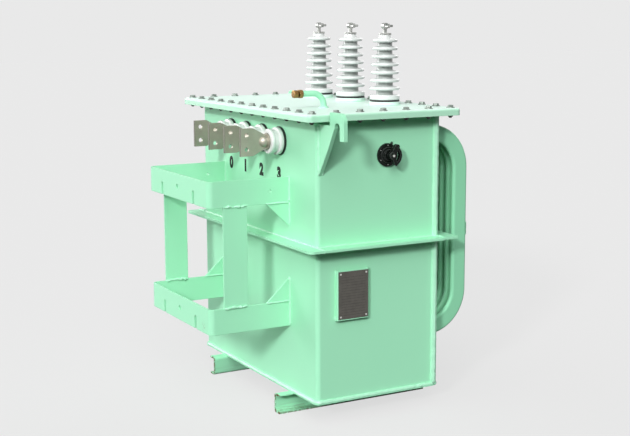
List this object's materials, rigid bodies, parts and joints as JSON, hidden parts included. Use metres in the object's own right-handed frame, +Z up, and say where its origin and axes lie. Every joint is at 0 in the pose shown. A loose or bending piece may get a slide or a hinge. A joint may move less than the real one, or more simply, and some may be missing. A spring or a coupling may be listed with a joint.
{
  "type": "distribution transformer",
  "caption": "Oil-filled distribution transformer with a sheet-steel tank, bent-tube radiator, porcelain bushings, lifting hooks, base channels and a strap bracket for a pole.",
  "frame": {"origin": "ground level under the middle of the transformer's overall box", "axes": "+Z up, +X along the tank towards the tap changer end, -Y out of the front with the low-voltage terminals and the pole bracket"},
  "size_m": [1.114, 0.856, 1.2168],
  "materials": {
    "paint": "gloss",
    "gasket": "matte",
    "porcelain": "gloss",
    "tinned": "satin",
    "brass": "satin",
    "black_plastic": "satin",
    "plate": "satin",
    "lamination": "matte",
    "winding": "matte"
  },
  "bodies": {
    "transformer": {"tank_wall": "paint", "back_wall": "paint", "bottom_plate": "paint", "tank_flange": "paint", "cover": "paint", "belt_front": "paint", "belt_back": "paint", "belt_left": "paint", "belt_right": "paint", "base_channel_left": "paint", "base_channel_right": "paint", "lifting_hook_left": "paint", "lifting_hook_right": "paint", "upper_bracket": "paint", "lower_bracket": "paint", "bracket_post_left": "paint", "bracket_post_right": "paint", "bracket_gussets": "paint", "filler_pipe": "paint", "nameplate_bracket": "paint", "radiator_tubes": "paint", "radiator_tie_bar": "paint", "cover_gasket": "gasket", "lv_gaskets": "gasket", "hv_gaskets": "gasket", "lv_bushing_0": "porcelain", "lv_bushing_1": "porcelain", "lv_bushing_2": "porcelain", "lv_bushing_3": "porcelain", "hv_bushing_1": "porcelain", "hv_bushing_2": "porcelain", "hv_bushing_3": "porcelain", "lv_terminal_0": "tinned", "lv_terminal_1": "tinned", "lv_terminal_2": "tinned", "lv_terminal_3": "tinned", "hv_terminal_1": "tinned", "hv_terminal_2": "tinned", "hv_terminal_3": "tinned", "filler_cap": "brass", "tap_changer_base": "black_plastic", "nameplate": "plate", "core": "lamination", "windings": "winding"},
    "tap_handle": {"tap_changer_handle": "black_plastic"}
  },
  "joints": [
    {"name": "tap_handle_turn", "type": "hinge", "parent": "transformer", "child": "tap_handle", "pos_m": [0.41, 0.093, 0.82], "axis": [1, 0, 0], "range_deg": [-60, 60]}
  ]
}
